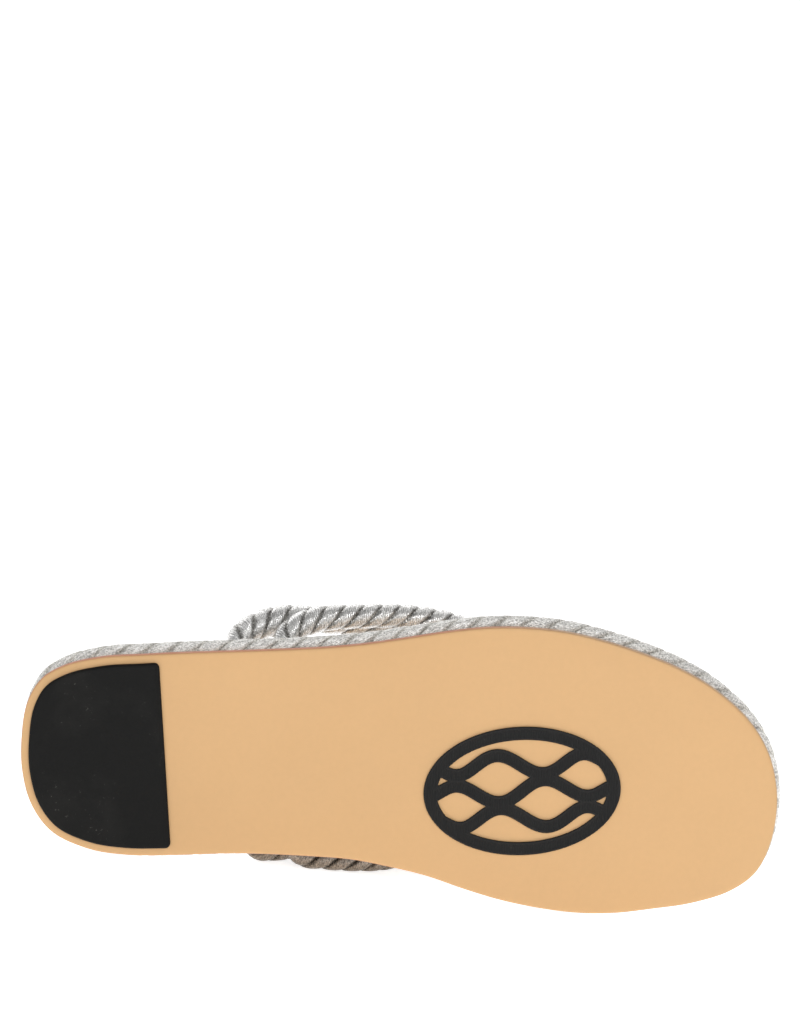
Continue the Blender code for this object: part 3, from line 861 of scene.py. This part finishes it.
def leather_finish(name, face, rear_edge, front_edge, up, roughness):
    """Smooth leather with fine grain and faint clouds. Its cut edge is redder from the heel to the waist,
    and the edge colour reaches over the rounded rim as a painted shade outline.
    """
    made = Finish(name, roughness)
    place = made.node("ShaderNodeTexCoord")
    position, normal = place.outputs["Object"], place.outputs["Normal"]
    facing = made.node("ShaderNodeVectorMath", {0: normal, 1: up}, operation="DOT_PRODUCT")
    # Edge colour: the cut edge's own colour on the sides, and painted shade where it spreads over the
    # rounded rim as a dark outline.
    edge_and_rim_shade = made.map(made.math("ABSOLUTE", facing.outputs["Value"]), 0.4, 0.9, 1.0, 0.0)
    along = made.node("ShaderNodeSeparateXYZ", {"Vector": position}).outputs["X"]
    edge = made.mix(made.map(along, RED_EDGE_FULL, RED_EDGE_GONE, 0.0, 1.0), rear_edge, front_edge)
    cloud = made.map(made.noise(position, LEATHER_CLOUDS, 3.0), 0.3, 0.7, 0.975, 1.02)
    fibre = made.map(made.noise(position, LEATHER_FIBRE, 4.0, 0.6), 0.3, 0.7, 0.985, 1.01)
    tone = made.math("MULTIPLY", cloud, fibre)
    colour = made.mix(edge_and_rim_shade, face, edge)
    scaled = made.node("ShaderNodeVectorMath", {0: colour, "Scale": tone}, operation="SCALE")
    cells = made.node("ShaderNodeTexVoronoi", {"Vector": position, "Scale": LEATHER_PORES})
    pores = made.bump(cells.outputs["Distance"], 0.10, PORE_DEPTH)
    wear = made.noise(position, LEATHER_WEAR, 3.0)
    rough = made.map(wear, 0.3, 0.7, roughness - 0.05, roughness + 0.07)
    return made.set(Base_Color=scaled.outputs["Vector"], Roughness=rough, Normal=pores)


def rubber_finish(name, base, scuff, roughness, gloss):
    """Black rubber with specks of dust and wider scuffs."""
    made = Finish(name, roughness)
    position = made.node("ShaderNodeTexCoord").outputs["Object"]
    dust = made.map(made.noise(position, RUBBER_DUST, 4.0, 0.75), 0.63, 0.74, 0.0, 1.0)
    wide = made.map(made.noise(position, RUBBER_SCUFFS, 4.0, 0.6), 0.48, 0.66, 0.0, 1.0)
    worn = made.math("MULTIPLY_ADD", dust, wide, made.math("MULTIPLY", wide, 0.04))
    colour = made.mix(worn, base, scuff)
    grain = made.noise(position, RUBBER_GRAIN, 4.0, 0.6)
    normal = made.bump(grain, 0.35, RUBBER_DEPTH)
    rough = made.map(grain, 0.3, 0.7, roughness - 0.08, roughness + 0.1)
    return made.set(Base_Color=colour, Roughness=rough, Normal=normal, Specular_IOR_Level=gloss)


def thread_finish(name, base, roughness):
    """Waxed sewing thread with a fine twist."""
    made = Finish(name, roughness)
    position = made.node("ShaderNodeTexCoord").outputs["Object"]
    fibre = made.noise(position, THREAD_FIBRE, 2.0)
    dark = (0.7 * base[0], 0.7 * base[1], 0.7 * base[2], 1.0)
    colour = made.mix(made.map(fibre, 0.3, 0.7, 0.0, 1.0), dark, base)
    return made.set(Base_Color=colour, Normal=made.bump(fibre, 0.5, THREAD_DEPTH))


def shoe_to_world(record):
    """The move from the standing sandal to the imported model, found from the record's two flat mounts."""
    places = {mount["name"]: mount for mount in record["mounts"]}
    heel = Vector(places["heel_tread"]["pos_m"])
    sole = Vector(places["sole_tread"]["pos_m"])
    up = -Vector(places["sole_tread"]["axis"]).normalized()
    step = SOLE_TREAD - HEEL_TREAD
    toe = (sole - heel - up * step.z).normalized()
    toe = (toe - up * toe.dot(up)).normalized()
    medial = up.cross(toe)
    turn = Matrix((toe, medial, up)).transposed()
    return Matrix.Translation(sole - turn @ SOLE_TREAD) @ turn.to_4x4()


def make_camera(stand):
    """The photo's camera, placed and rolled by the sole's own axes."""
    cos, sin = math.cos(SOLE_TURN), math.sin(SOLE_TURN)
    plane = Matrix(((cos, sin, 0), (-sin, cos, 0), (0, 0, 1))).to_4x4()
    plane = stand @ Matrix.Translation(SOLE_MIDDLE) @ plane
    away = Vector(
        (
            math.sin(LOOK_SWING) * math.cos(LOOK_TILT),
            -math.sin(LOOK_TILT),
            -math.cos(LOOK_TILT) * math.cos(LOOK_SWING),
        )
    ).normalized()
    right = (-away).cross(Vector((0, -1, 0))).normalized()
    up = right.cross(-away)
    ray = Vector(
        (
            (MIDDLE_PIXEL[0] - IMAGE_WIDTH / 2) / FOCAL_PIXELS,
            (IMAGE_HEIGHT / 2 - MIDDLE_PIXEL[1]) / FOCAL_PIXELS,
            -1.0,
        )
    ).normalized()
    aim = ray.rotation_difference(Vector((0, 0, -1))).to_matrix()
    turn = Matrix((right, up, away)).transposed() @ aim
    data = bpy.data.cameras.new("camera")
    data.sensor_width = SENSOR_WIDTH
    data.lens = SENSOR_WIDTH * FOCAL_PIXELS / IMAGE_HEIGHT
    camera = bpy.data.objects.new("camera", data)
    bpy.context.scene.collection.objects.link(camera)
    camera.matrix_world = plane @ (Matrix.Translation(away * CAMERA_DISTANCE) @ turn.to_4x4())
    bpy.context.scene.camera = camera


def make_sweep(floor_level):
    """Pale studio paper: a floor that curves up into the backdrop."""
    radius = SWEEP_FAR - SWEEP_BEND
    rows = [(SWEEP_NEAR, 0.0), (SWEEP_BEND, 0.0)]
    for i in range(1, SWEEP_STEPS + 1):
        angle = math.pi / 2 * i / SWEEP_STEPS
        rows.append((SWEEP_BEND + radius * math.sin(angle), radius * (1 - math.cos(angle))))
    rows.append((SWEEP_FAR, SWEEP_TOP))
    sides = (-SWEEP_HALF_WIDTH, SWEEP_HALF_WIDTH)
    bm = bmesh.new()
    lines = [[bm.verts.new((x, y, floor_level + z)) for x in sides] for y, z in rows]
    for low, high_line in zip(lines, lines[1:]):
        bm.faces.new((low[0], low[1], high_line[1], high_line[0]))
    mesh = bpy.data.meshes.new("sweep")
    bm.to_mesh(mesh)
    bm.free()
    mesh.shade_smooth()
    paper = Finish("paper", PAPER_ROUGHNESS)
    paper.set(Base_Color=PAPER_TONE, Emission_Color=WHITE, Emission_Strength=PAPER_GLOW)
    mesh.materials.append(paper.material)
    sweep = bpy.data.objects.new("sweep", mesh)
    bpy.context.scene.collection.objects.link(sweep)
    sweep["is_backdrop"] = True


def make_light(name, place, size, power):
    """One area light, aimed at the sandal."""
    data = bpy.data.lights.new(name, "AREA")
    data.shape = "RECTANGLE"
    data.size, data.size_y = size
    data.energy = power
    light = bpy.data.objects.new(name, data)
    bpy.context.scene.collection.objects.link(light)
    light.location = place
    light.rotation_euler = (Vector(LIGHT_TARGET) - Vector(place)).to_track_quat("-Z", "Y").to_euler()


def make_studio(floor_level):
    """The paper sweep, an even pale world and the three lights."""
    make_sweep(floor_level)
    world = bpy.data.worlds.new("studio")
    world.use_nodes = True
    background = world.node_tree.nodes["Background"]
    background.inputs["Color"].default_value = WHITE
    background.inputs["Strength"].default_value = WORLD_GLOW
    bpy.context.scene.world = world
    for row in LIGHTS:
        make_light(*row)
    view = bpy.context.scene.view_settings
    view.view_transform = "Standard"
    view.look = "None"


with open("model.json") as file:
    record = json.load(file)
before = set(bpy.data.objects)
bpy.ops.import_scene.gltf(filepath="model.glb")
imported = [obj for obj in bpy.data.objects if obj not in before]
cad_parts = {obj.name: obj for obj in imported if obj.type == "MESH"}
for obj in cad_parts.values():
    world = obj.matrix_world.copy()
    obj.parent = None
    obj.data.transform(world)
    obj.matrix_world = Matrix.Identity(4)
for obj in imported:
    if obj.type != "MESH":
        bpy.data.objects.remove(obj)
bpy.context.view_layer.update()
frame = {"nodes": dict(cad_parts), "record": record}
stand = shoe_to_world(frame["record"])
shoe_up = stand.to_3x3() @ Vector((0, 0, 1))
make_camera(stand)

sole_leather = leather_finish(
    "tan_leather",
    face=(0.705, 0.428, 0.196, 1.0),
    rear_edge=(0.62, 0.25, 0.13, 1.0),
    front_edge=(0.56, 0.35, 0.20, 1.0),
    up=shoe_up,
    roughness=0.48,
)
insole_leather = leather_finish(
    "insole_leather",
    face=(0.50, 0.34, 0.20, 1.0),
    rear_edge=(0.30, 0.19, 0.11, 1.0),
    front_edge=(0.30, 0.19, 0.11, 1.0),
    up=shoe_up,
    roughness=0.62,
)
patch_rubber = rubber_finish(
    "black_rubber",
    base=(0.0085, 0.0085, 0.0082, 1.0),
    scuff=(0.11, 0.105, 0.095, 1.0),
    roughness=0.60,
    gloss=0.13,
)
moulded_rubber = rubber_finish(
    "grip_rubber",
    base=(0.0105, 0.0105, 0.0103, 1.0),
    scuff=(0.06, 0.057, 0.05, 1.0),
    roughness=0.46,
    gloss=0.22,
)
thread = thread_finish("stitch_thread", base=(0.70, 0.58, 0.42, 1.0), roughness=0.6)

footbed = frame["nodes"]["footbed"].data
footbed.materials.clear()
footbed.materials.append(insole_leather)
add_piece(stand, "outsole_leather", outsole_shape(), sole_leather, "outsole")
add_piece(stand, "heel_rubber", heel_patch_shape(), patch_rubber, "heel_patch")
add_piece(stand, "grip_relief", grip_shape(), moulded_rubber, "grip_insert")
add_piece(stand, "footbed_stitches", stitch_shape(), thread)

border = empty_rope(BORDER_SECTION)
path = border_path()
lay_strands(border, path, [BORDER_RADIUS] * len(path), BORDER_LAY, Vector((0, 0, 1)), closed=True)
border_finish = rope_finish(
    "border_rope",
    base=(0.95, 0.93, 0.89, 1.0),
    shade=(0.58, 0.55, 0.49, 1.0),
    floor_shade_colour=(0.75, 0.70, 0.64, 1.0),
    thread_pitch=0.0012,
    twist=0.0372,
    streaks=(160.0, 0.0),
    roughness=0.42,
    metallic=0.50,
)
add_rope(stand, "border_strands", border, border_finish, "rope_border")

straps = empty_rope(STRAP_SECTION)
for strap in STRAPS.values():
    row = strap_path(strap)
    middles = [point.to_3d() for point in row]
    radii = [point.w for point in row]
    lay_strands(straps, middles, radii, STRAP_LAY, Vector((1, 0, 0)), closed=False)
strap_finish = rope_finish(
    "strap_rope",
    base=(0.96, 0.95, 0.93, 1.0),
    shade=(0.22, 0.21, 0.19, 1.0),
    floor_shade_colour=(0.26, 0.21, 0.165, 1.0),
    thread_pitch=0.0009,
    twist=-0.0018,
    streaks=(0.0, 14.0),
    roughness=0.30,
    metallic=0.80,
)
add_rope(stand, "strap_strands", straps, strap_finish, "upper")

make_studio(min(0.0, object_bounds()[0].z))
